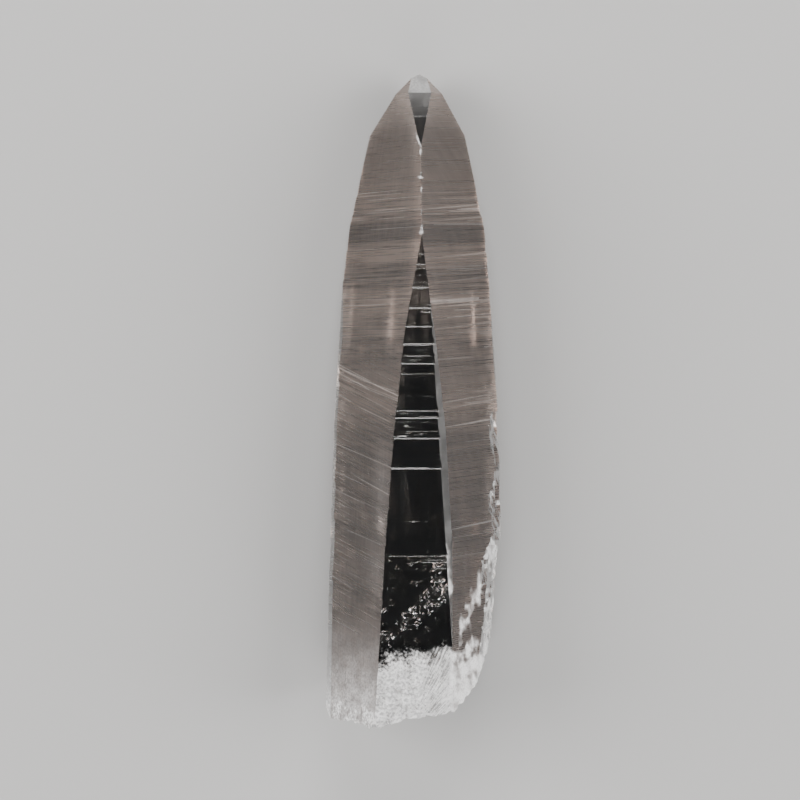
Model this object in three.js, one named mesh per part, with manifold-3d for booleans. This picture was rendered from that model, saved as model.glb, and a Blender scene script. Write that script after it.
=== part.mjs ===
// A tapered point of clear quartz, grown as one crystal and broken off at its lower end.
// It lies on its broad back face: millimetres, +Z up, the long axis along +Y towards the tip, the narrow
// front face looking up, and +X on the right-hand side as seen from above. The origin is under the middle
// of the crystal's box, on the surface that it lies on.
import * as THREE from "three";
import { ImprovedNoise } from "three/addons/math/ImprovedNoise.js";
import { mergeVertices } from "three/addons/utils/BufferGeometryUtils.js";
import Module from "manifold-3d";

// Heights along the long axis, measured up from the foot of the broken end
const LENGTH = 108;
const SHOULDER = 104.7; // the small end faces of the tip start here
const KNEE = 98; // the steep faces at the back of the tip start here
const WAIST = 81; // the front face tapers to a point here
const UPPER = 65;
const MIDDLE = 50;
const LOWER = 31;

// Distances from the long axis
const FRONT = 15.7; // to the narrow front face
const BACK = 6.5; // to the broad back face

// The block that the crystal is cut from
const BLANK_WIDTH = 60;
const BLANK_BELOW = 20; // how far it reaches below the foot

// Growth faces round the long axis. An azimuth is in degrees, from the front towards the right-hand side.
// A profile is a list of [height, distance from the long axis], and each stretch of it is one flat face.
const SIDES = {
  front: {
    azimuth: 0,
    profile: [[0, FRONT], [87.5, FRONT], [SHOULDER, 2.9], [LENGTH, -0.9]],
  },
  rightFront: {
    azimuth: 60,
    profile: [
      [0, 12.75], [LOWER, 12.15], [MIDDLE, 11.15], [UPPER, 9.9], [WAIST, 8.2], [SHOULDER, 3.2], [LENGTH, 0.5],
    ],
  },
  rightBack: {
    azimuth: 120,
    profile: [[0, 12.8], [40, 12.4], [72, 11.3], [84, 10.8], [KNEE, 8.6], [SHOULDER, 3.4], [LENGTH, 0.5]],
  },
  back: {
    azimuth: 180,
    profile: [[0, BACK], [90, BACK], [100, 5.6], [LENGTH, 1.6]],
  },
  leftBack: {
    azimuth: 240,
    profile: [[0, 13.5], [72, 13.5], [84, 12.7], [KNEE, 9.9], [SHOULDER, 3.6], [LENGTH, 0.4]],
  },
  leftFront: {
    azimuth: 300,
    profile: [
      [0, 14.2], [LOWER, 12.6], [MIDDLE, 11.3], [UPPER, 9.9], [WAIST, 7.5], [SHOULDER, 3], [LENGTH, 0.5],
    ],
  },
  // Narrow faces that blunt the long edges
  frontEdge: { azimuth: 30, profile: [[LOWER, 15.72], [66, 14.6]] },
  rightEdge: { azimuth: 78, profile: [[0, 13.9], [MIDDLE, 12.7], [71, 11.1]] },
  leftEdge: { azimuth: 285, profile: [[0, 14.9], [21, 14.2], [MIDDLE, 12.9], [71, 11.2]] },
};

// Growth ledges: a face is set back by a depth at each ledge, and runs out to its own plane again above it.
// A ledge slants across its face, and leans so that it fades towards one side, both in degrees.
const LEDGE_REACH = 40; // longer than any face is wide
const LEDGE_CLEAR = 1; // how far the cut stands out of the face
const LEDGE_SPREAD = 1.7; // how far a ledge's step runs along the face, for its depth
const LEDGES = [
  { side: "front", depth: 0.12, run: 1.6, slant: 0, lean: 0,
    heights: [29, 43, 47.9, 51.2, 52.3, 60, 63.2, 66, 69, 72.3] },
  { side: "rightFront", depth: 0.14, run: 2.4, slant: 5, lean: 0.5,
    heights: [34, 50.6, 53.6, 54.6, 66.5, 70, 74, 78, 84, 86] },
  { side: "leftFront", depth: 0.12, run: 2.6, slant: 0, lean: -0.4, heights: [74, 79, 85, 88] },
  { side: "leftFront", depth: 0.16, run: 3, slant: -13, lean: -0.3, heights: [23, 33, 39, 55.5, 57.5] },
  { side: "rightBack", depth: 0.14, run: 2.4, slant: 0, lean: 0, heights: [40, 52, 63, 70, 78, 85] },
  { side: "leftBack", depth: 0.14, run: 2.4, slant: 0, lean: 0, heights: [28, 44, 58, 66, 76, 84] },
  { side: "back", depth: 0.08, run: 1.6, slant: 0, lean: 0, heights: [34, 49, 61, 73] },
];

// Small chips along the ridge above the point of the front face
const RIDGE_CHIP_HEIGHTS = [82.2, 84.5, 88.4, 90.8, 94.4];
const RIDGE_CHIP_SIZE = 0.5;
const RIDGE_CHIP_STRETCH = 1.6;

// The broken end climbs towards the back and the right, and folds down on the left. A climb is a slope.
const BREAK_HEIGHT = 2.3;
const BREAK_CLIMB_BACK = 0.444;
const BREAK_CLIMB_RIGHT = 0.235;
const BREAK_FOLD_X = -8;
const BREAK_FOLD_CLIMB = 0.45;
const BREAK_RELIEF = 0.8;
const BREAK_CELL = 0.85;
const BREAK_WIDTH = 36;

// A shell-shaped chip off the front left-hand corner of the broken end, left by a ball
const CORNER_CHIP_MIDDLE = [-8, -2.6, FRONT + 0.6];
const CORNER_CHIP_RADIUS = 4;

// Torn patches on the lower right-hand edge, each from a low to a high [height, distance from the long axis]
const TEARS = [
  { azimuth: 72, low: [31, 12.5], high: [52, 11.7] },
  { azimuth: 74, low: [24, 11.5], high: [34, 12.5] },
  { azimuth: 80, low: [0, 9.9], high: [31, 12.3] },
];
const TEAR_RELIEF = 0.55;
const TEAR_CELL = 0.8;
const TEAR_WIDTH = 16;

const UP = new THREE.Vector3(0, 1, 0); // along the long axis, towards the tip
const wasm = await Module();
wasm.setup();
const perlin = new ImprovedNoise();

// A closed geometry as a solid.
function solidOf(geometry) {
  const loose = geometry.index ? geometry.toNonIndexed() : geometry;
  const bare = new THREE.BufferGeometry().setAttribute("position", loose.getAttribute("position"));
  const merged = mergeVertices(bare);
  const mesh = new wasm.Mesh({
    numProp: 3,
    vertProperties: merged.getAttribute("position").array,
    triVerts: new Uint32Array(merged.index.array),
  });
  return new wasm.Manifold(mesh);
}

// A solid as a geometry with flat faces.
function geometryOf(solid) {
  const mesh = solid.getMesh();
  const geometry = new THREE.BufferGeometry();
  geometry.setAttribute("position", new THREE.BufferAttribute(mesh.vertProperties, 3));
  geometry.setIndex(new THREE.BufferAttribute(mesh.triVerts, 1));
  const flat = geometry.toNonIndexed();
  flat.computeVertexNormals();
  return flat;
}

// The plane of one growth face, through two points of its profile.
function growthPlane(azimuth, low, high) {
  const turn = THREE.MathUtils.degToRad(azimuth);
  const taper = Math.atan2(low[1] - high[1], high[0] - low[0]);
  const normal = new THREE.Vector3(
    Math.sin(turn) * Math.cos(taper),
    Math.sin(taper),
    Math.cos(turn) * Math.cos(taper),
  );
  return { normal, offset: low[1] * Math.cos(taper) + low[0] * Math.sin(taper) };
}

// The flat faces of one side, from the foot to the tip, each with the height where it ends.
function facesOf({ azimuth, profile }) {
  return profile.slice(1).map((high, i) => ({ top: high[0], ...growthPlane(azimuth, profile[i], high) }));
}

// How far a face is from the long axis at a height.
function distanceAt({ normal, offset }, height) {
  return (offset - height * normal.y) / Math.hypot(normal.x, normal.z);
}

// The bare crystal: a block cut back to the plane of every growth face.
function grownBlock() {
  const tall = LENGTH + BLANK_BELOW;
  const block = new THREE.BoxGeometry(BLANK_WIDTH, tall, BLANK_WIDTH);
  block.translate(0, LENGTH - tall / 2, 0);
  const faces = Object.values(SIDES).flatMap(facesOf);
  return faces.reduce((solid, { normal, offset }) => {
    const into = normal.clone().negate().toArray();
    return solid.trimByPlane(into, -offset);
  }, solidOf(block));
}

// The wedge that sets a face back at one ledge. Its section has the height along X and the way out along Y.
function ledgeWedge(side, height, { depth, run, slant, lean }) {
  const section = new THREE.Shape([
    new THREE.Vector2(0, -depth),
    new THREE.Vector2(run * (1 + LEDGE_CLEAR / depth), LEDGE_CLEAR),
    new THREE.Vector2(-LEDGE_SPREAD * (depth + LEDGE_CLEAR), LEDGE_CLEAR),
  ]);
  const wedge = new THREE.ExtrudeGeometry(section, { depth: LEDGE_REACH, bevelEnabled: false });
  wedge.translate(0, 0, -LEDGE_REACH / 2);
  wedge.rotateX(THREE.MathUtils.degToRad(lean));
  wedge.rotateY(THREE.MathUtils.degToRad(slant));
  const face = facesOf(side).find(({ top }) => height < top);
  const out = face.normal;
  const across = UP.clone().cross(out).normalize();
  const along = out.clone().cross(across);
  const place = out.clone().setY(0).setLength(distanceAt(face, height)).setY(height);
  return wedge.applyMatrix4(new THREE.Matrix4().makeBasis(along, out, across).setPosition(place));
}

// Small chips on the ridge where the two front flanks meet.
function ridgeChips() {
  return RIDGE_CHIP_HEIGHTS.map((height, i) => {
    const [left, right] = [SIDES.leftFront, SIDES.rightFront].map((side) =>
      distanceAt(facesOf(side).find(({ top }) => height < top), height),
    );
    const size = RIDGE_CHIP_SIZE * (0.8 + 0.2 * Math.cos(2.4 * i));
    const chip = new THREE.OctahedronGeometry(size).rotateY(i).scale(1, RIDGE_CHIP_STRETCH, 1);
    return chip.translate((right - left) / Math.sqrt(3), height, left + right + size / 3);
  });
}

// Broad shells, sharp-crested steps and fine grain of a broken surface, about 1 high.
function hackle(u, v, layer) {
  const shells = perlin.noise(u / 9, v / 9, layer);
  const steps = Math.abs(perlin.noise(u / 3.2, v / 3.2, layer + 7));
  const grain = perlin.noise(u / 1.2, v / 1.2, layer + 13);
  return 1.1 * shells + 0.9 * steps + 0.3 * grain;
}

// A block whose +Z face is a relief over Z = 0, made of cells of one size.
function reliefBlock(width, height, thickness, cell, relief) {
  const [columns, rows] = [width, height].map((side) => Math.round(side / cell));
  const block = new THREE.BoxGeometry(width, height, thickness, columns, rows, 1);
  const position = block.getAttribute("position");
  for (let i = 0; i < position.count; i++) {
    const onTop = position.getZ(i) > 0;
    position.setZ(i, onTop ? relief(position.getX(i), position.getY(i)) : -thickness);
  }
  return block;
}

// What broke away at the lower end.
function brokenEnd() {
  const relief = (x, y) => {
    const climb = BREAK_CLIMB_BACK * (FRONT + y) + BREAK_CLIMB_RIGHT * x;
    const fold = BREAK_FOLD_CLIMB * Math.min(x - BREAK_FOLD_X, 0);
    return BREAK_HEIGHT + climb + fold + BREAK_RELIEF * hackle(x, y, 3);
  };
  return reliefBlock(BREAK_WIDTH, BREAK_WIDTH, BREAK_WIDTH, BREAK_CELL, relief).rotateX(-Math.PI / 2);
}

// What chipped off the corner of the broken end.
function cornerChip() {
  return new THREE.IcosahedronGeometry(CORNER_CHIP_RADIUS, 4).translate(...CORNER_CHIP_MIDDLE);
}

// What tore away from one patch of the lower right-hand edge.
function tornPatch({ azimuth, low, high }) {
  const face = growthPlane(azimuth, low, high);
  const relief = (x, y) => -TEAR_RELIEF * hackle(x, y, azimuth);
  const block = reliefBlock(TEAR_WIDTH, high[0] - low[0], TEAR_WIDTH, TEAR_CELL, relief);
  const into = face.normal.clone().negate();
  const across = UP.clone().cross(into).normalize();
  const along = into.clone().cross(across);
  const middle = (low[0] + high[0]) / 2;
  const place = face.normal.clone().setY(0).setLength(distanceAt(face, middle)).setY(middle);
  return block.applyMatrix4(new THREE.Matrix4().makeBasis(across, along, into).setPosition(place));
}

function crystalSolid() {
  const ledges = LEDGES.flatMap((group) =>
    group.heights.map((height) => ledgeWedge(SIDES[group.side], height, group)),
  );
  const cuts = [...ledges, ...ridgeChips(), ...TEARS.map(tornPatch), brokenEnd(), cornerChip()];
  return cuts.reduce((solid, cut) => solid.subtract(solidOf(cut)), grownBlock());
}

const quartz = new THREE.MeshStandardMaterial({
  name: "quartz",
  color: 0xd9d2cd,
  roughness: 0.25,
  metalness: 0,
});

const crystal = new THREE.Mesh(geometryOf(crystalSolid()), quartz);
crystal.name = "crystal";
crystal.geometry.computeBoundingBox();
const box = crystal.geometry.boundingBox;
const middle = box.getCenter(new THREE.Vector3());
crystal.position.set(-middle.x, -middle.y, -box.min.z);

const part = new THREE.Group();
part.add(crystal);

export default part;
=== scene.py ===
import math
from types import SimpleNamespace

import bmesh
import bpy
import numpy as np
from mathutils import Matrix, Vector, noise


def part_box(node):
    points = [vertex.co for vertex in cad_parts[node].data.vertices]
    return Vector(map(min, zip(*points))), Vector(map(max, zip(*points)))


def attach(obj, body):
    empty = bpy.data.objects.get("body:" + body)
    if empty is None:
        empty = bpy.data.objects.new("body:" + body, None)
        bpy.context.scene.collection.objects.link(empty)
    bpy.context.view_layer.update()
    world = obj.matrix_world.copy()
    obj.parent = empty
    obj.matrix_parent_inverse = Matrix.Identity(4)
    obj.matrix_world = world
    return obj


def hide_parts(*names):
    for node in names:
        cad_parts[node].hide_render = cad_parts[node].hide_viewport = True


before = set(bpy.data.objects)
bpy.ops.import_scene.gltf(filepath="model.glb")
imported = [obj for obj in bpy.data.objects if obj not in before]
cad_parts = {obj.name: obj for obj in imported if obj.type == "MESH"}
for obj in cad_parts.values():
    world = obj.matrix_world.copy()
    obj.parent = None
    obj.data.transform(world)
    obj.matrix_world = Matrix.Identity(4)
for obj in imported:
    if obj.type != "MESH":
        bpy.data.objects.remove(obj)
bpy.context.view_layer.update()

# Sizes in millimetres; heights run from the foot of the broken end to the tip
MM = 0.001
TIP_HEIGHT = 108
SHOULDER = 104.7  # the small end faces of the tip start here
UPPER_WINDOW = 92  # the front face is faintly satin from here to the shoulder
LEFT_REACH = 15.24  # from the long axis to the leftmost edge
FOOT_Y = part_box("crystal")[1].y / MM - TIP_HEIGHT
AXIS_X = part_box("crystal")[0].x / MM + LEFT_REACH

# Sides, by the azimuth that they face, in degrees from the front towards the right
SIDES = {
    "front": 0,
    "front_edge": 30,
    "right_front": 60,
    "right_edge": 78,
    "right_back": 120,
    "back": 180,
    "left_back": 240,
    "left_edge": 285,
    "left_front": 300,
}
SIDE_NAMES = list(SIDES)
BROKEN = len(SIDE_NAMES)
BROAD_SIDES = ("front", "right_front", "right_back", "back", "left_back", "left_front")
FILMED_SIDES = ("right_front", "right_edge", "right_back", "left_back", "left_edge", "left_front")
SATIN_SIDES = ("front_edge", "right_edge", "left_edge")

# How the solid is read: corners this near are one, and faces this level are one
JOIN_GAP = 0.002
FLAT_TURN = math.radians(0.3)
# A face of this area, in square millimetres, stands for a plane of the crystal; near the tip less is enough
PLANE_AREA = 4
TIP_PLANE_AREA = 1.2
TIP_PLANE_HEIGHT = 90
# A grown face lies near such a plane, and turns little from it and from the azimuth of its side
PLANE_GAP = 0.25
GROWN_TURN = math.radians(50)
GROWN_AZIMUTH = 14  # degrees
GROWN_RISE = -0.2  # least upward part of its normal along the long axis
CUT_GAP = 0.0001  # a corner this near a cutting plane is on it

# Slope of the growth lines across a side, to the right as seen from the front
RIGHT_SLOPE = 0.05
OBLIQUE_SLOPE = -0.23
OBLIQUE_TOP = 64
OBLIQUE_FADE = 8

# Bands of fine growth ledges: side, lowest and highest height, count, greatest depth and slope
LEDGE_BANDS = [
    ("front", 66, 78, 20, 0.08, 0),
    ("front", 58, 66, 10, 0.07, 0),
    ("front", 42, 54, 10, 0.06, 0),
    ("front", 25, 29, 5, 0.06, 0),
    ("front", 95, 104, 12, 0.022, 0),
    ("right_front", 82, 89, 12, 0.06, RIGHT_SLOPE),
    ("right_front", 61, 77, 24, 0.06, RIGHT_SLOPE),
    ("right_front", 52, 56, 6, 0.06, RIGHT_SLOPE),
    ("right_front", 26, 51, 9, 0.04, RIGHT_SLOPE),
    ("left_front", 82, 89, 10, 0.06, 0),
    ("left_front", 68, 79, 8, 0.05, 0),
    ("left_front", 54, 60, 10, 0.06, OBLIQUE_SLOPE),
    ("left_front", 30, 48, 10, 0.05, OBLIQUE_SLOPE),
    ("left_front", 17, 28, 8, 0.05, OBLIQUE_SLOPE),
    ("right_back", 30, 92, 26, 0.06, 0),
    ("left_back", 20, 92, 28, 0.06, 0),
    ("back", 44, 90, 12, 0.05, 0),
]
# Ranges that each ledge is drawn from: where it starts across its side, how long it is, its share of the
# band's depth, how far it runs out above the step, and its share of the band's slope
LEDGE_SEED = 100
LEDGE_START = (-26, 4)
LEDGE_LENGTH = (8, 30)
LEDGE_DEPTH_SHARE = (0.35, 1)
LEDGE_RUN = (0.35, 0.9)
LEDGE_SLOPE_SHARE = (0.7, 1.2)
LEDGE_SPREAD = 1.7  # how far a step runs along the side, for its depth
LEDGE_FADE = 4
LEDGE_TURN = math.radians(12)  # a face that turns more than this from its side is a step

# Cuts that give the sides columns, and the foot rows
COLUMN = 1.3
HALF_SPAN = 18
FOOT_ROW = 1.0
FOOT_TOP = 32
BREAK_CUTS = 2

# Scar on the back face: points along it as across, height and half width
SCAR = [(-7.4, 14.0, 1.0), (-3.0, 16.3, 1.1), (0.3, 19.2, 1.6), (3.4, 22.5, 2.4), (3.6, 26.5, 1.6)]
SCAR_CELL = 0.3
SCAR_MARGIN = 1
SCAR_DEPTH = 0.6
SCAR_STEEPNESS = 3
# Grains here and below are cells of noise per metre, each with its share where it has one
SCAR_EDGE_GRAIN = 900
SCAR_EDGE_SHARE = 0.5
SCAR_GRAIN = 1300
SCAR_FINE_GRAIN = 3100
SCAR_FINE_SHARE = 0.5

# Centre of the arcs of the break, just off the front edge of the broken end
BREAK_START = Vector((4, -52, 24))
# Relief of the breaks: arcs, rays across them, small steps and a fine grain
ARC_RELIEF = 0.18
ARC_TURN = 2.2  # radians of the wave per millimetre
ARC_WANDER = 3
ARC_GRAIN = 200
RAY_RELIEF = 0.5
RAY_COUNT = 9
RAY_DRIFT = 0.1
STEP_RELIEF = 0.25
STEP_GRAIN = 1200
STEP_SHIFT = Vector((7, 3, 1))
FINE_RELIEF = 0.04
FINE_GRAIN = 4000
NEAR_PARALLEL = 0.15  # sides that differ less than this share one move of a corner

# Clean-up of the relief: edges shorter than the least one are closed, and so are slivers that fold back
# over their neighbours by more than a turn, where they are narrow enough
LEAST_EDGE = 0.005
FOLD_TURN = math.radians(140)
FOLD_WIDTH = 0.4
FOLD_PASSES = 20

# White fracture zone at the foot: the height of its upper edge at the long axis, and how that edge climbs
FROST_EDGE = 12.3
FROST_RISE = 0.07
FROST_FADE = 3
LEFT_FROST_EDGE = 4
BROKEN_FROST = 0.4
# Least sideways part of the normal on the left and the right flank
LEFT_FACING = 0.5
RIGHT_FACING = 0.3
# Fracture that runs from the torn right edge into the right side
RIGHT_FRACTURE = [(12.7, 29.4, 2.2), (9.9, 22.8, 2.4), (7.2, 17.0, 1.8), (8.5, 12.0, 2.8)]
RIGHT_FRACTURE_SHARE = 0.5
# Chip at the foot of the satin strip beside the front face
STRIP_CHIP = [(4.4, 30.2, 1.2), (4.9, 22.8, 1.4)]
STRIP_CHIP_SHARE = 0.8
# Painted glints, white painted where small chips on the front ridge catch the light: across, height, half
# width, half length and lean to the side per length
GLINTS = [
    (0.05, 96.4, 0.2, 1.4, -0.33),
    (0.4, 94.6, 0.25, 0.6, 0.0),
    (0.4, 90.3, 0.55, 0.3, 0.0),
    (0.5, 88.4, 0.16, 0.5, 0.3),
    (0.5, 81.2, 0.4, 0.45, 0.0),
]
GLINT_LEVEL = 14  # the painted glints show only above this level over the floor
GLINT_RAGGED = 2.0  # how far the dust pushes a painted glint's edge
GLINT_RAMP = (1.4, 2.1, 0.85, 0.0)
# Soft white veils on the left flank: across, height, half width, half height and strength
VEILS = [(-6.0, 40.0, 2.0, 9.0, 0.22), (-6.8, 27.0, 2.5, 6.0, 0.15)]
# Veil that thickens towards the foot of the left flank
LEFT_VEIL = 0.7
LEFT_VEIL_TOP = 19
LEFT_VEIL_FADE = 15
# Painted light, carried with the veils: white painted on the front face of the tip and, less, on its right
# face, which looks up along the long axis, so these faces read lighter as where they catch the lights
TIP_PAINTED_LIGHT = 0.45
TIP_SIDE_PAINTED_LIGHT = 0.15
TIP_FACING = 0.5
UPPER_FILM = 0.1  # share of film on the upper part of the front face

# Tone of the film along the height, painted in lighter and darker bands that stand in for the reflection of
# a softbox on the flanks, and strength of the growth lines along the height, as shares of the whole length
PAINTED_REFLECTION_STOPS = [
    (0, 0.15), (0.3, 0.05), (0.44, 0.15), (0.5, 0.6), (0.58, 0.25), (0.65, 0.8),
    (0.69, 0.12), (0.72, 0.85), (0.755, 0.05), (0.79, 0.65), (0.9, 0.4), (1, 0.55),
]
LINE_STOPS = [
    (0, 0.15), (0.3, 0.2), (0.48, 0.6), (0.52, 0.35), (0.6, 0.7), (0.72, 0.9),
    (0.76, 0.3), (0.79, 0.9), (0.82, 0.5), (0.86, 0.05), (1, 0.05),
]

# Growth lines: grains, and how little the noise changes across a side and along the height
LINE_GRAIN = 4200
OBLIQUE_GRAIN = 3600
BAND_GRAIN = 900
LINE_DETAIL = 1.0
LINE_STRETCH = 0.01
MOTTLE_GRAIN = 1300
MOTTLE_STRETCH = 0.15

# Grain of the white fracture, and the centre that its hackle fans out from
FAN_ACROSS = -5
FAN_HEIGHT = -5
FAN = (10.0, 160.0)  # cells per radian, and per metre outwards
FINE_FAN = (70.0, 300.0)
FAN_SHARE = 0.75
FAN_ZONE = (-2, 3)  # across, where the fan sets in
CALM_ZONE = (4.5, 6)  # across, where the fan gives way to a smooth cloud
CALM_CLOUD = (0.5, 0.33)
CLOUD_GRAIN = 450
CLOUD_DETAIL = 3.0
SUGAR_GRAIN = 2200
DUST_GRAIN = 3500  # the finest grain

# How far each grain swings the edge of the white, and the film's tone, to both sides
CLOUD_SWING = 1.5
FAN_SWING = 0.6
HACKLE_SWING = 1.0
MOTTLE_SWING = 0.5

# Ramps of the material: where each starts and ends, then the values that it runs between, if not 0 and 1
FROST_ONSET = (0.0, 0.3)
FROST_GAIN = 1.15
WHITE_RAMP = (0.3, 0.9)
GAP_RAMP = (0.38, 0.58)
GAP_SHARES = (0.7, 0.5)  # white left in the gaps, on the left and in the fan
THIN_CLOUD = (0.3, 0.6, 0.6, 1.0)
TORN_CLOUD = (0.3, 0.7, 0.5, 0.9)
TORN_DUST = (0.25, 0.65, 0.8, 1.0)
VEIL_AND_PAINTED_TIP_LIGHT_CLOUD = (0.3, 0.7, 0.75, 1.15)
LINE_CONTRAST = (0.3, 0.75, -0.35, 0.55)
BAND_CONTRAST = (0.3, 0.7, -0.2, 0.2)
SPARKLE_HACKLE = (0.36, 0.56, 0.4, 1.0)
SPARKLE_DUST = (0.35, 0.55, 0.6, 1.0)
FILM_ROUGHNESS = (0.3, 0.7, 0.24, 0.36)
BARE_ROUGHNESS = (0.3, 0.7, 0.1, 0.4)
# Painted highlight: share of white painted on the steps of the filmed ledges, as where they catch the light
STEP_PAINTED_HIGHLIGHT = 0.3

# Quartz: colours of the film, the satin strips and the white, and how much light each lets through
WARM_DARK = (0.11, 0.07, 0.055)
WARM_LIGHT = (0.62, 0.46, 0.38)
# Grey of the satin edge strips and the tip: partly their dull finish, partly a painted highlight that makes
# them lighter than the film, as where they catch the light
SATIN_AND_PAINTED_HIGHLIGHT_COLOR = (0.42, 0.42, 0.42)
CLEAR_COLOR = (1, 1, 1)
SNOW_SHADE = (0.3, 0.3, 0.31)
SNOW_COLOR = (1.0, 1.0, 1.0)
FILM_TRANSMISSION = 0.89
WHITE_TRANSMISSION = 0.15
CLEAR_ROUGHNESS = 0.03
WHITE_ROUGHNESS = 0.45
QUARTZ_IOR = 1.544
ABSORPTION_COLOR = (0.93, 0.9, 0.88, 1)
ABSORPTION_DENSITY = 6
BUMP_STRENGTH = 0.3
BUMP_HEIGHT = 0.03
BUMP_HACKLE = 4.0
BUMP_CLOUD = 5.0

# Stage: a pale floor just under the crystal, a faint sky and four soft lights
FLOOR_HALF = 1500
FLOOR_GAP = 0.05
FLOOR_COLOR = (0.45, 0.45, 0.45, 1)
FLOOR_ROUGHNESS = 0.9
SKY_COLOR = (0.9, 0.95, 1, 1)
SKY_STRENGTH = 0.12
LIGHT_COLOR = (1, 0.98, 0.96)
# Lights: name, place, width, height, power in watts and the point that they look at
LIGHTS = [
    ("left_light", (-500, 50, 300), 400, 500, 5.2, (0, 0, 10)),
    ("right_light", (500, 0, 300), 400, 500, 4.6, (0, 0, 10)),
    ("top_light", (0, 600, 360), 500, 300, 4.5, (0, 0, 10)),
    ("foot_light", (50, -450, 200), 500, 250, 1.8, (0, 0, 50)),
]

# Camera: it looks straight down on a plane in the crystal, and the photo's frame is in pixels
CAMERA_DISTANCE = 700
CAMERA_PLANE = 8  # level of that plane over the floor
SENSOR_WIDTH = 36
PHOTO_WIDTH = 800
PHOTO_LENGTH = 654  # from the foot to the tip
PHOTO_SHIFT = (-13.5, -2)  # from the middle of the crystal's box to the middle of the photo
PIXEL = TIP_HEIGHT / PHOTO_LENGTH


def azimuth_of(vector):
    """The azimuth that a vector points to, in degrees from the front towards the right."""
    return math.degrees(math.atan2(vector.x, vector.z)) % 360


def across_of(name):
    """The level direction across a side, to the right as seen from the front."""
    turn = math.radians(SIDES[name])
    return Vector((math.cos(turn), 0, -math.sin(turn)))


def height_of(co):
    """A point's height along the long axis, in millimetres."""
    return co.y / MM - FOOT_Y


def offset_of(co):
    """How far a point is to the right of the long axis, in millimetres."""
    return co.x / MM - AXIS_X


def clamp(value):
    """A value kept between 0 and 1."""
    return min(max(value, 0), 1)


def along_route(route, across, height):
    """Share from 1 on a route's middle to 0 at its half width and beyond."""
    best = 0
    for (x0, h0, w0), (x1, h1, w1) in zip(route, route[1:]):
        dx = x1 - x0
        dh = h1 - h0
        t = clamp(((across - x0) * dx + (height - h0) * dh) / (dx * dx + dh * dh))
        gap = math.hypot(across - x0 - t * dx, height - h0 - t * dh)
        best = max(best, 1 - gap / (w0 + t * (w1 - w0)))
    return best


def merged_solid():
    """The solid's mesh with its loose corners joined and its flat faces whole."""
    bm = bmesh.new()
    bm.from_mesh(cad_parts["crystal"].data)
    bmesh.ops.remove_doubles(bm, verts=bm.verts, dist=JOIN_GAP * MM)
    bmesh.ops.dissolve_limit(bm, angle_limit=FLAT_TURN, verts=bm.verts, edges=bm.edges)
    bm.normal_update()
    return bm


def main_planes(bm):
    """The planes of the larger faces, each as its normal and its distance."""
    planes = []
    for f in bm.faces:
        middle = f.calc_center_median()
        least = TIP_PLANE_AREA if height_of(middle) > TIP_PLANE_HEIGHT else PLANE_AREA
        if f.calc_area() > least * MM**2:
            planes.append((f.normal.copy(), f.normal.dot(middle)))
    return planes


def tag_sides(bm):
    """Marks each face with the number of its side, or as broken, and the steps of its ledges."""
    side = bm.faces.layers.int.new("side")
    step = bm.faces.layers.float.new("step")
    planes = main_planes(bm)
    for f in bm.faces:
        middle = f.calc_center_median()
        azimuth = azimuth_of(f.normal)
        turns = [abs((azimuth - a + 180) % 360 - 180) for a in SIDES.values()]
        angles = [n.angle(f.normal) for n, d in planes if abs(n.dot(middle) - d) < PLANE_GAP * MM]
        turn = min(angles, default=math.pi)
        grown = turn < GROWN_TURN and min(turns) < GROWN_AZIMUTH and f.normal.y > GROWN_RISE
        f[side] = turns.index(min(turns)) if grown else BROKEN
        f[step] = float(grown and turn > LEDGE_TURN)
    return side, step


def cut_faces(bm, faces, point, normal):
    """Cuts faces by a plane."""
    gap = CUT_GAP * MM
    crossed = []
    for f in faces:
        levels = [(v.co - point).dot(normal) for v in f.verts]
        if min(levels) < -gap and max(levels) > gap:
            crossed.append(f)
    edges = {e for f in crossed for e in f.edges}
    verts = {v for f in crossed for v in f.verts}
    bmesh.ops.bisect_plane(bm, geom=[*crossed, *edges, *verts], dist=gap, plane_co=point, plane_no=normal)


def side_faces(bm, side, number):
    """The faces of one side."""
    return [f for f in bm.faces if f[side] == number]


def fine_ledges():
    """Every fine ledge: its side, height, depth, run and slope, and the stretch that it crosses."""
    ledges = []
    rng = np.random.default_rng(LEDGE_SEED)
    for name, low, high, count, deepest, slope in LEDGE_BANDS:
        for height in np.sort(rng.uniform(low, high, count)):
            start = rng.uniform(*LEDGE_START)
            ledges.append(
                {
                    "side": SIDE_NAMES.index(name),
                    "height": height,
                    "depth": deepest * rng.uniform(*LEDGE_DEPTH_SHARE),
                    "run": rng.uniform(*LEDGE_RUN),
                    "slope": slope * rng.uniform(*LEDGE_SLOPE_SHARE),
                    "start": start,
                    "end": start + rng.uniform(*LEDGE_LENGTH),
                }
            )
    return ledges


def cut_rows(bm, side, ledges):
    """Cuts the sides where their ledges are, the foot into rows, and the broad sides into columns."""
    for ledge in ledges:
        across = across_of(SIDE_NAMES[ledge["side"]])
        normal = Vector((0, 1, 0)) - ledge["slope"] * across
        for shift in (-LEDGE_SPREAD * ledge["depth"], 0, ledge["run"]):
            point = Vector((0, (FOOT_Y + ledge["height"] + shift) * MM, 0))
            cut_faces(bm, side_faces(bm, side, ledge["side"]), point, normal)
    for height in np.arange(0, FOOT_TOP, FOOT_ROW):
        point = Vector((0, (FOOT_Y + height) * MM, 0))
        cut_faces(bm, [f for f in bm.faces if f[side] != BROKEN], point, Vector((0, 1, 0)))
    for name in BROAD_SIDES:
        across = across_of(name)
        number = SIDE_NAMES.index(name)
        for place in np.arange(-HALF_SPAN, HALF_SPAN, COLUMN):
            cut_faces(bm, side_faces(bm, side, number), across * (place * MM), across)


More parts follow.
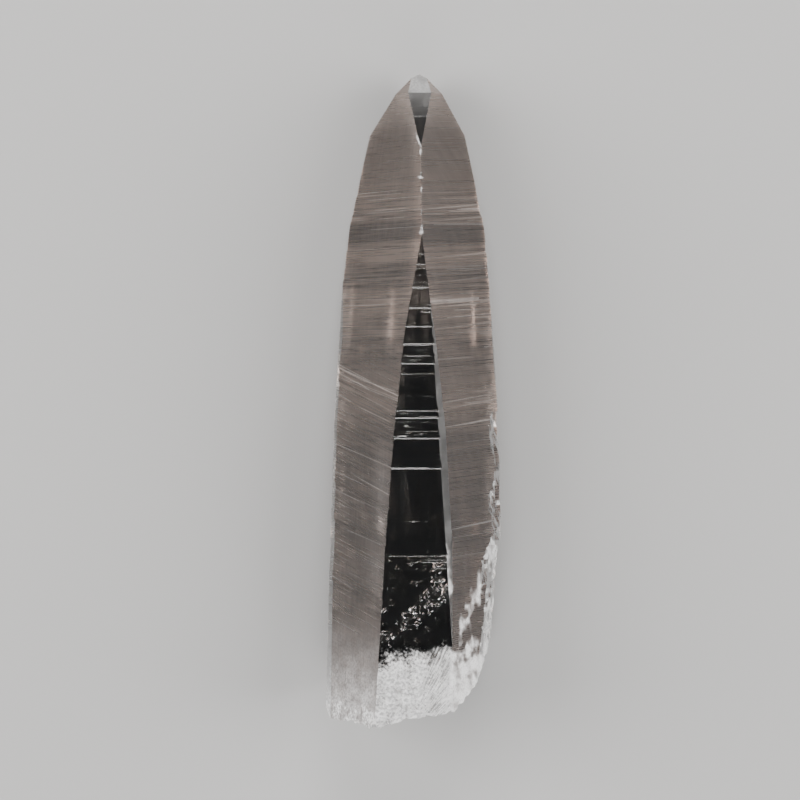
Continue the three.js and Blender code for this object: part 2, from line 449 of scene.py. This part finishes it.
def cut_scar(bm, side):
    """Cuts the back face into small cells around the scar."""
    back = SIDE_NAMES.index("back")
    left = min(x - w for x, h, w in SCAR)
    right = max(x + w for x, h, w in SCAR)
    low = min(h - w for x, h, w in SCAR)
    high = max(h + w for x, h, w in SCAR)

    def inside():
        found = []
        for f in side_faces(bm, side, back):
            middle = f.calc_center_median()
            near_across = left - SCAR_MARGIN < offset_of(middle) < right + SCAR_MARGIN
            if near_across and low - SCAR_MARGIN < height_of(middle) < high + SCAR_MARGIN:
                found.append(f)
        return found

    for across in np.arange(left, right, SCAR_CELL):
        cut_faces(bm, inside(), Vector(((AXIS_X + across) * MM, 0, 0)), Vector((1, 0, 0)))
    for height in np.arange(low, high, SCAR_CELL):
        cut_faces(bm, inside(), Vector((0, (FOOT_Y + height) * MM, 0)), Vector((0, 1, 0)))


def roughen_breaks(bm, side):
    """Cuts the broken faces into smaller ones, for their relief."""
    edges = {e for f in bm.faces if f[side] == BROKEN for e in f.edges}
    bmesh.ops.subdivide_edges(bm, edges=list(edges), cuts=BREAK_CUTS, use_grid_fill=True)


def ledge_depth(co, number, ledges):
    """How far the ledges set a point of a side back, in millimetres."""
    u = co.dot(across_of(SIDE_NAMES[number])) / MM
    total = 0
    for ledge in ledges:
        if ledge["side"] != number:
            continue
        t = height_of(co) - ledge["height"] - ledge["slope"] * u
        rise = LEDGE_SPREAD * ledge["depth"]
        if -rise < t <= 0:
            share = 1 + t / rise
        elif 0 < t < ledge["run"]:
            share = 1 - t / ledge["run"]
        else:
            continue
        fade = min(clamp((u - ledge["start"]) / LEDGE_FADE), clamp((ledge["end"] - u) / LEDGE_FADE))
        total += ledge["depth"] * share * fade
    return total


def scar_depth(co):
    """How far the scar sets a point of the back face back, in millimetres."""
    share = along_route(SCAR, offset_of(co), height_of(co))
    share += SCAR_EDGE_SHARE * noise.noise(co * SCAR_EDGE_GRAIN)
    if share <= 0:
        return 0
    crumple = abs(noise.noise(co * SCAR_GRAIN))
    crumple += SCAR_FINE_SHARE * abs(noise.noise(co * SCAR_FINE_GRAIN))
    return SCAR_DEPTH * clamp(share * SCAR_STEEPNESS) * crumple


def hackle(co):
    """Relief of a broken surface in millimetres, never out of the solid."""
    apart = co - BREAK_START * MM
    reach = apart.length / MM
    arcs = math.sin(reach * ARC_TURN + ARC_WANDER * noise.noise(co * ARC_GRAIN))
    turn = math.atan2(apart.z, apart.x)
    rays = abs(noise.noise(Vector((turn * RAY_COUNT, reach * RAY_DRIFT, 0))))
    steps = abs(noise.noise(co * STEP_GRAIN + STEP_SHIFT))
    fine = noise.noise(co * FINE_GRAIN)
    relief = ARC_RELIEF * arcs + RAY_RELIEF * rays + STEP_RELIEF * steps + FINE_RELIEF * fine
    return min(relief - ARC_RELIEF, 0)


def relieve(bm, side, ledges):
    """Moves every corner by the relief of each side that it is on, within the solid's box."""
    back = SIDE_NAMES.index("back")
    moves = {}
    for v in bm.verts:
        normals = {}
        for f in v.link_faces:
            normals[f[side]] = normals.get(f[side], Vector()) + f.normal
        rises = []
        for number in normals:
            if number == BROKEN:
                rises.append(hackle(v.co))
            else:
                depth = ledge_depth(v.co, number, ledges)
                if number == back:
                    depth += scar_depth(v.co)
                rises.append(-depth)
        if any(rises):
            rows = np.array([n.normalized() for n in normals.values()])
            moves[v] = Vector(np.linalg.lstsq(rows, np.array(rises), rcond=NEAR_PARALLEL)[0]) * MM
    lowest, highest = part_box("crystal")
    for v, move in moves.items():
        for axis in range(3):
            v.co[axis] = min(max(v.co[axis] + move[axis], lowest[axis]), highest[axis])


def relieve_and_mark(bm, side, step, ledges):
    """Moves the corners, and marks the faces that tip over as steps."""
    before = [f.normal.copy() for f in bm.faces]
    relieve(bm, side, ledges)
    bm.normal_update()
    for f, normal in zip(bm.faces, before):
        if f[side] != BROKEN and f.normal.angle(normal, 0) > LEDGE_TURN:
            f[step] = 1


def on_left_flank(normal):
    """True for a normal that looks up and to the left."""
    return normal.x < -LEFT_FACING and normal.z > 0


def frost_at(co, normal):
    """Share of the white fracture at a point."""
    across = offset_of(co)
    height = height_of(co)
    edge = LEFT_FROST_EDGE if on_left_flank(normal) else FROST_EDGE + FROST_RISE * across
    share = clamp((edge - height) / FROST_FADE * 0.5 + 0.5)
    if normal.z > 0 and normal.x > RIGHT_FACING:
        share = max(share, RIGHT_FRACTURE_SHARE * along_route(RIGHT_FRACTURE, across, height))
        share = max(share, STRIP_CHIP_SHARE * along_route(STRIP_CHIP, across, height))
    return share


def veil_at(co, normal):
    """Share of the soft white veil under a point of the left flank."""
    if not on_left_flank(normal):
        return 0
    across = offset_of(co)
    height = height_of(co)
    share = LEFT_VEIL * clamp((LEFT_VEIL_TOP - height) / LEFT_VEIL_FADE)
    for x, h, width, tall, strength in VEILS:
        share += strength * clamp(1 - math.hypot((across - x) / width, (height - h) / tall))
    return share


def add_looks(bm, side):
    """Lays down the shares that the material reads."""
    film = bm.faces.layers.float.new("film")
    broken = bm.faces.layers.float.new("broken")
    satin = bm.faces.layers.float.new("satin")
    loops = bm.loops.layers.float
    level = loops.new("level")
    oblique = loops.new("oblique")
    slanted = loops.new("slanted")
    frost = loops.new("frost")
    veil_and_painted_tip_light = loops.new("veil_and_painted_tip_light")
    for f in bm.faces:
        name = SIDE_NAMES[f[side]] if f[side] != BROKEN else "broken"
        middle = height_of(f.calc_center_median())
        tip = name == "front" and middle > SHOULDER
        upper = name == "front" and UPPER_WINDOW < middle <= SHOULDER
        slope = RIGHT_SLOPE if name == "right_front" else 0
        f[broken] = float(name == "broken")
        f[film] = UPPER_FILM if upper else float(name in FILMED_SIDES or tip)
        f[satin] = UPPER_FILM if upper else float(name in SATIN_SIDES or tip)
        for loop in f.loops:
            co = loop.vert.co
            loop[level] = co.y - slope * co.dot(across_of("right_front"))
            loop[oblique] = co.y - OBLIQUE_SLOPE * co.dot(across_of("left_front"))
            if name == "left_front":
                loop[slanted] = clamp((OBLIQUE_TOP - height_of(co)) / OBLIQUE_FADE)
            loop[frost] = frost_at(co, f.normal) * (BROKEN_FROST if name == "broken" else 1)
            # Painted light on the tip: its front face and its upward right face are painted whiter, as
            # where they catch the lights
            if tip:
                loop[veil_and_painted_tip_light] = TIP_PAINTED_LIGHT
            elif name == "right_front" and f.normal.y > TIP_FACING:
                loop[veil_and_painted_tip_light] = TIP_SIDE_PAINTED_LIGHT
            else:
                loop[veil_and_painted_tip_light] = veil_at(co, f.normal)


def drop_fins(bm):
    """Takes out pairs of faces that lie on the same three corners, which enclose nothing."""
    sharing = {}
    for f in bm.faces:
        sharing.setdefault(frozenset(f.verts), []).append(f)
    doubled = [f for group in sharing.values() if len(group) > 1 for f in group]
    bmesh.ops.delete(bm, geom=doubled, context="FACES")
    bmesh.ops.delete(bm, geom=[e for e in bm.edges if not e.link_faces], context="EDGES")


def neighbours(corner):
    """The corners that share an edge with a corner."""
    return {e.other_vert(corner) for e in corner.link_edges}


def can_close(edge):
    """True if a short edge can shrink to a point without pinching the surface."""
    first, second = edge.verts
    shared = neighbours(first) & neighbours(second)
    return edge.calc_length() < FOLD_WIDTH * MM and len(edge.link_faces) == 2 and len(shared) == 2


def close_folds(bm):
    """Closes the slivers that fold back over their neighbours."""
    for _ in range(FOLD_PASSES):
        bm.normal_update()
        welds = {}
        busy = set()
        for e in bm.edges:
            if len(e.link_faces) != 2 or e.calc_face_angle(0) < FOLD_TURN:
                continue
            sliver = min(e.link_faces, key=lambda f: f.calc_area())
            choices = [edge for edge in sliver.edges if can_close(edge)]
            if not choices:
                continue
            shortest = min(choices, key=lambda edge: edge.calc_length())
            near = {v for corner in shortest.verts for f in corner.link_faces for v in f.verts}
            if not near & busy:
                welds[shortest.verts[0]] = shortest.verts[1]
                busy |= near
        if not welds:
            break
        bmesh.ops.weld_verts(bm, targetmap=welds)


def crystal_piece():
    """The crystal: the solid with its fine ledges, its scar and the relief of its breaks."""
    bm = merged_solid()
    side, step = tag_sides(bm)
    ledges = fine_ledges()
    cut_rows(bm, side, ledges)
    cut_scar(bm, side)
    roughen_breaks(bm, side)
    bm.normal_update()
    relieve_and_mark(bm, side, step, ledges)
    bmesh.ops.dissolve_degenerate(bm, dist=LEAST_EDGE * MM, edges=bm.edges)
    bm.normal_update()
    add_looks(bm, side)
    bmesh.ops.triangulate(bm, faces=bm.faces)
    drop_fins(bm)
    close_folds(bm)
    mesh = bpy.data.meshes.new("quartz_crystal")
    bm.to_mesh(mesh)
    bm.free()
    piece = bpy.data.objects.new("quartz_crystal", mesh)
    bpy.context.scene.collection.objects.link(piece)
    return piece


class Graph:
    """Short ways to add shader nodes to one material."""

    def __init__(self, name):
        self.material = bpy.data.materials.new(name)
        self.material.use_nodes = True
        self.tree = self.material.node_tree
        self.shader = self.tree.nodes["Principled BSDF"]
        self.output = self.tree.nodes["Material Output"]

    def node(self, kind, **settings):
        made = self.tree.nodes.new(kind)
        for key, value in settings.items():
            setattr(made, key, value)
        return made

    def feed(self, socket, value):
        """Links a socket to another one, or sets it to a colour or a number."""
        if isinstance(value, bpy.types.NodeSocket):
            self.tree.links.new(value, socket)
        elif isinstance(value, tuple):
            socket.default_value = (*value, 1)
        else:
            socket.default_value = value

    def attribute(self, name):
        """A share that the mesh carries."""
        return self.node("ShaderNodeAttribute", attribute_name=name).outputs["Fac"]

    def math(self, operation, *values):
        made = self.node("ShaderNodeMath", operation=operation)
        for socket, value in zip(made.inputs, values):
            self.feed(socket, value)
        return made.outputs[0]

    def total(self, *values):
        """The sum of several values."""
        result = values[0]
        for value in values[1:]:
            result = self.math("ADD", result, value)
        return result

    def swing(self, value, size):
        """A grain from 0 to 1 as a swing of a given size around zero."""
        return self.math("MULTIPLY_ADD", value, size, -size / 2)

    def ramp(self, value, low, high, start=0.0, end=1.0):
        """A smooth run from start to end, while a value goes from low to high."""
        made = self.node("ShaderNodeMapRange", interpolation_type="SMOOTHSTEP")
        for socket, number in zip(made.inputs, (value, low, high, start, end)):
            self.feed(socket, number)
        return made.outputs[0]

    def stops(self, value, points):
        """A smooth curve through points of place and share, both from 0 to 1."""
        made = self.node("ShaderNodeValToRGB")
        made.color_ramp.interpolation = "EASE"
        elements = made.color_ramp.elements
        while len(elements) < len(points):
            elements.new(0.5)
        for element, (place, share) in zip(elements, points):
            element.position = place
            element.color = (share, share, share, 1)
        self.feed(made.inputs[0], value)
        return made.outputs[0]

    def mix(self, share, low, high):
        """A number between low, at a share of 0, and high, at a share of 1."""
        made = self.node("ShaderNodeMix", data_type="FLOAT")
        for socket, value in zip((made.inputs[0], made.inputs[2], made.inputs[3]), (share, low, high)):
            self.feed(socket, value)
        return made.outputs[0]

    def mix_color(self, share, low, high):
        """A colour between low, at a share of 0, and high, at a share of 1."""
        made = self.node("ShaderNodeMix", data_type="RGBA")
        for socket, value in zip((made.inputs[0], made.inputs[6], made.inputs[7]), (share, low, high)):
            self.feed(socket, value)
        return made.outputs[2]

    def vector(self, x, y, z=0.0):
        made = self.node("ShaderNodeCombineXYZ")
        for socket, value in zip(made.inputs, (x, y, z)):
            self.feed(socket, value)
        return made.outputs[0]

    def noise(self, vector, scale, detail=2.0):
        """A grain from 0 to 1, with scale cells in each unit of a vector."""
        made = self.node("ShaderNodeTexNoise")
        self.feed(made.inputs["Vector"], vector)
        made.inputs["Scale"].default_value = scale
        made.inputs["Detail"].default_value = detail
        return made.outputs["Fac"]


def growth_lines(g, x, y, z):
    """Thin streaks that run across the sides, with their strength, and the film's tone along the height,
    whose bands are a painted reflection.
    """
    level = g.attribute("level")
    share_up = g.math("MULTIPLY_ADD", level, 1 / (TIP_HEIGHT * MM), -FOOT_Y / TIP_HEIGHT)
    around = g.math("ADD", x, z)
    sideways = g.math("MULTIPLY", around, LINE_STRETCH)
    level_lines = g.noise(g.vector(sideways, level), LINE_GRAIN, LINE_DETAIL)
    oblique_lines = g.noise(g.vector(sideways, g.attribute("oblique")), OBLIQUE_GRAIN, LINE_DETAIL)
    return SimpleNamespace(
        lines=g.mix(g.attribute("slanted"), level_lines, oblique_lines),
        bands=g.noise(g.vector(sideways, level), BAND_GRAIN, LINE_DETAIL),
        mottle=g.noise(g.vector(around, g.math("MULTIPLY", y, MOTTLE_STRETCH)), MOTTLE_GRAIN),
        strength=g.stops(share_up, LINE_STOPS),
        tone=g.stops(share_up, PAINTED_REFLECTION_STOPS),
    )


def fracture_grain(g, place, x, y):
    """Grains of the white fracture: a sugary one, and on the right a hackle that fans out from the foot."""
    run = g.math("SUBTRACT", x, (AXIS_X + FAN_ACROSS) * MM)
    climb = g.math("SUBTRACT", y, (FOOT_Y + FAN_HEIGHT) * MM)
    spoke = g.math("ARCTAN2", climb, run)
    squares = g.math("ADD", g.math("MULTIPLY", run, run), g.math("MULTIPLY", climb, climb))
    reach = g.math("SQRT", squares)

    def fan_noise(per_radian, outwards):
        turned = g.math("MULTIPLY", spoke, per_radian)
        spread = g.math("MULTIPLY", reach, outwards)
        return g.noise(g.vector(turned, spread), 1.0)

    def zone(limits):
        start, end = limits
        return g.ramp(x, (AXIS_X + start) * MM, (AXIS_X + end) * MM)

    cloud = g.noise(place, CLOUD_GRAIN, CLOUD_DETAIL)
    fanned = zone(FAN_ZONE)
    sugar = g.noise(place, SUGAR_GRAIN)
    crisp = g.mix(g.math("MULTIPLY", fanned, FAN_SHARE), sugar, fan_noise(*FINE_FAN))
    smooth = g.math("MULTIPLY_ADD", cloud, *CALM_CLOUD)
    return SimpleNamespace(
        cloud=cloud,
        dust=g.noise(place, DUST_GRAIN),
        fan=fan_noise(*FAN),
        fanned=fanned,
        hackle=g.mix(zone(CALM_ZONE), crisp, smooth),
    )


def ridge_glints(g, x, y, z, dust):
    """Shares of the painted glints: white painted on the small chips along the front ridge, where they
    catch the light.
    """
    front = g.math("GREATER_THAN", z, GLINT_LEVEL * MM)
    for across, height, half_width, half_length, lean in GLINTS:
        up = g.math("SUBTRACT", y, (FOOT_Y + height) * MM)
        aside = g.math("MULTIPLY_ADD", up, -lean, g.math("SUBTRACT", x, (AXIS_X + across) * MM))
        apart = g.node("ShaderNodeVectorMath", operation="LENGTH")
        wide = g.math("DIVIDE", aside, half_width * MM)
        tall = g.math("DIVIDE", up, half_length * MM)
        g.feed(apart.inputs[0], g.vector(wide, tall))
        edge = g.math("MULTIPLY_ADD", dust, GLINT_RAGGED, apart.outputs["Value"])
        yield g.math("MULTIPLY", g.ramp(edge, *GLINT_RAMP), front)


def fracture_white(g, frost, grain):
    """Share of the white fracture at the foot, with a ragged edge and gaps."""
    unrest = g.total(
        g.swing(grain.cloud, CLOUD_SWING),
        g.swing(grain.fan, FAN_SWING),
        g.swing(grain.hackle, HACKLE_SWING),
    )
    gained = g.math("MULTIPLY", frost, FROST_GAIN)
    ragged = g.math("MULTIPLY_ADD", unrest, g.ramp(frost, *FROST_ONSET), gained)
    gaps = g.ramp(grain.hackle, *GAP_RAMP, g.mix(grain.fanned, *GAP_SHARES), 1.0)
    thin = g.math("MULTIPLY", gaps, g.ramp(grain.cloud, *THIN_CLOUD))
    return g.math("MULTIPLY", g.ramp(ragged, *WHITE_RAMP), thin)


def film_color(g, film, satin, growth):
    """Colour of the sides: clear, or a thin warm film with growth lines and painted reflection bands, or
    grey satin strips, whose grey is partly a painted highlight.
    """
    # Film tone: its bands along the height are a painted reflection; the lines, bands and mottle are the
    # film's own grain
    tone = g.total(
        growth.tone,
        g.math("MULTIPLY", g.ramp(growth.lines, *LINE_CONTRAST), growth.strength),
        g.math("MULTIPLY", g.ramp(growth.bands, *BAND_CONTRAST), growth.strength),
        g.swing(growth.mottle, MOTTLE_SWING),
    )
    warm = g.mix_color(tone, WARM_DARK, WARM_LIGHT)
    return g.mix_color(film, CLEAR_COLOR, g.mix_color(satin, warm, SATIN_AND_PAINTED_HIGHLIGHT_COLOR))


def side_roughness(g, film, satin, growth):
    """Roughness of the sides: clear faces are polished, filmed and satin ones are dull."""
    dull = g.ramp(growth.lines, *FILM_ROUGHNESS)
    rough = g.mix(g.math("MAXIMUM", film, satin), CLEAR_ROUGHNESS, dull)
    bare = g.math("MULTIPLY", satin, g.math("SUBTRACT", 1.0, film))
    return g.math("MULTIPLY_ADD", bare, g.ramp(growth.mottle, *BARE_ROUGHNESS), rough)


def surface_bump(g, rugged, growth, grain):
    """Fine relief: growth lines on the sides, and crackle where the surface is rugged."""
    crackle = g.total(
        grain.dust,
        g.math("MULTIPLY", grain.hackle, BUMP_HACKLE),
        g.math("MULTIPLY", grain.cloud, BUMP_CLOUD),
    )
    streaks = g.math("MULTIPLY", growth.lines, growth.strength)
    bump = g.node("ShaderNodeBump")
    bump.inputs["Strength"].default_value = BUMP_STRENGTH
    bump.inputs["Distance"].default_value = BUMP_HEIGHT * MM
    g.feed(bump.inputs["Height"], g.mix(rugged, streaks, crackle))
    return bump.outputs[0]


def quartz_material():
    """Clear quartz with a warm film on its flanks, a white fracture at its foot and torn surfaces, and
    painted light: reflection bands on the film, glints on the ridge, highlights on the ledge steps and
    light on the tip.
    """
    g = Graph("quartz")
    place = g.node("ShaderNodeTexCoord").outputs["Object"]
    split = g.node("ShaderNodeSeparateXYZ")
    g.feed(split.inputs[0], place)
    x, y, z = split.outputs
    film = g.attribute("film")
    satin = g.attribute("satin")
    broken = g.attribute("broken")
    frost = g.attribute("frost")
    growth = growth_lines(g, x, y, z)
    grain = fracture_grain(g, place, x, y)

    # White parts, with the painted glints, the painted highlight on the ledge steps and the painted light
    # on the tip
    white = fracture_white(g, frost, grain)
    patches = g.math("MULTIPLY", g.ramp(grain.cloud, *TORN_CLOUD), g.ramp(grain.dust, *TORN_DUST))
    torn = g.math("MULTIPLY", broken, patches)
    # Painted highlight on the ledge steps: thin bright lines, as where the steps catch the light
    painted_step_highlight = g.math("MULTIPLY", g.math("MULTIPLY", g.attribute("step"), film), STEP_PAINTED_HIGHLIGHT)
    # The veils, together with the painted light on the tip
    veil_and_painted_tip_light = g.math("MULTIPLY", g.attribute("veil_and_painted_tip_light"), g.ramp(grain.cloud, *VEIL_AND_PAINTED_TIP_LIGHT_CLOUD))
    for part in (torn, painted_step_highlight, veil_and_painted_tip_light, *ridge_glints(g, x, y, z, grain.dust)):
        white = g.math("MAXIMUM", white, part)
    sparkle = g.math(
        "MULTIPLY",
        g.ramp(grain.hackle, *SPARKLE_HACKLE),
        g.ramp(grain.dust, *SPARKLE_DUST),
    )
    snow = g.mix_color(sparkle, SNOW_SHADE, SNOW_COLOR)

    # Surface
    sockets = g.shader.inputs
    g.feed(sockets["Base Color"], g.mix_color(white, film_color(g, film, satin, growth), snow))
    g.feed(sockets["Roughness"], g.mix(white, side_roughness(g, film, satin, growth), WHITE_ROUGHNESS))
    haze = g.mix(film, 1.0, FILM_TRANSMISSION)
    g.feed(sockets["Transmission Weight"], g.mix(white, haze, WHITE_TRANSMISSION))
    sockets["IOR"].default_value = QUARTZ_IOR
    rugged = g.math("MAXIMUM", frost, broken)
    g.feed(sockets["Normal"], surface_bump(g, rugged, growth, grain))

    # Inside
    volume = g.node("ShaderNodeVolumeAbsorption")
    volume.inputs["Color"].default_value = ABSORPTION_COLOR
    volume.inputs["Density"].default_value = ABSORPTION_DENSITY
    g.feed(g.output.inputs["Volume"], volume.outputs[0])
    return g.material


crystal = crystal_piece()
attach(crystal, "root")
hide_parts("crystal")
crystal.data.materials.append(quartz_material())

# Stage


def floor_piece():
    """A square of pale floor."""
    half = FLOOR_HALF * MM
    corners = [(-half, -half, 0), (half, -half, 0), (half, half, 0), (-half, half, 0)]
    mesh = bpy.data.meshes.new("floor")
    mesh.from_pydata(corners, [], [(0, 1, 2, 3)])
    material = bpy.data.materials.new("floor")
    material.use_nodes = True
    sockets = material.node_tree.nodes["Principled BSDF"].inputs
    sockets["Base Color"].default_value = FLOOR_COLOR
    sockets["Roughness"].default_value = FLOOR_ROUGHNESS
    mesh.materials.append(material)
    piece = bpy.data.objects.new("floor", mesh)
    piece.location.z = -FLOOR_GAP * MM
    bpy.context.scene.collection.objects.link(piece)
    return piece


def softbox(name, place, width, height, power, target):
    """A flat light that looks at a point."""
    light = bpy.data.lights.new(name, "AREA")
    light.shape = "RECTANGLE"
    light.size = width * MM
    light.size_y = height * MM
    light.energy = power
    light.color = LIGHT_COLOR
    lamp = bpy.data.objects.new(name, light)
    lamp.location = Vector(place) * MM
    lamp.rotation_euler = (Vector(target) - Vector(place)).to_track_quat("-Z", "Y").to_euler()
    bpy.context.scene.collection.objects.link(lamp)


floor = floor_piece()

world = bpy.data.worlds.new("studio")
world.use_nodes = True
sky = world.node_tree.nodes["Background"].inputs
sky["Color"].default_value = SKY_COLOR
sky["Strength"].default_value = SKY_STRENGTH
bpy.context.scene.world = world

for light_settings in LIGHTS:
    softbox(*light_settings)

# No light is focused through the crystal, so the floor under it stays dark
bpy.context.scene.cycles.caustics_refractive = False
bpy.context.scene.cycles.caustics_reflective = False

# Camera

optics = bpy.data.cameras.new("camera")
optics.sensor_width = SENSOR_WIDTH
optics.lens = SENSOR_WIDTH * CAMERA_DISTANCE / (PHOTO_WIDTH * PIXEL)
camera = bpy.data.objects.new("camera", optics)
shift_x, shift_y = PHOTO_SHIFT
camera.location = Vector((shift_x * PIXEL, shift_y * PIXEL, CAMERA_DISTANCE + CAMERA_PLANE)) * MM
bpy.context.scene.collection.objects.link(camera)
bpy.context.scene.camera = camera
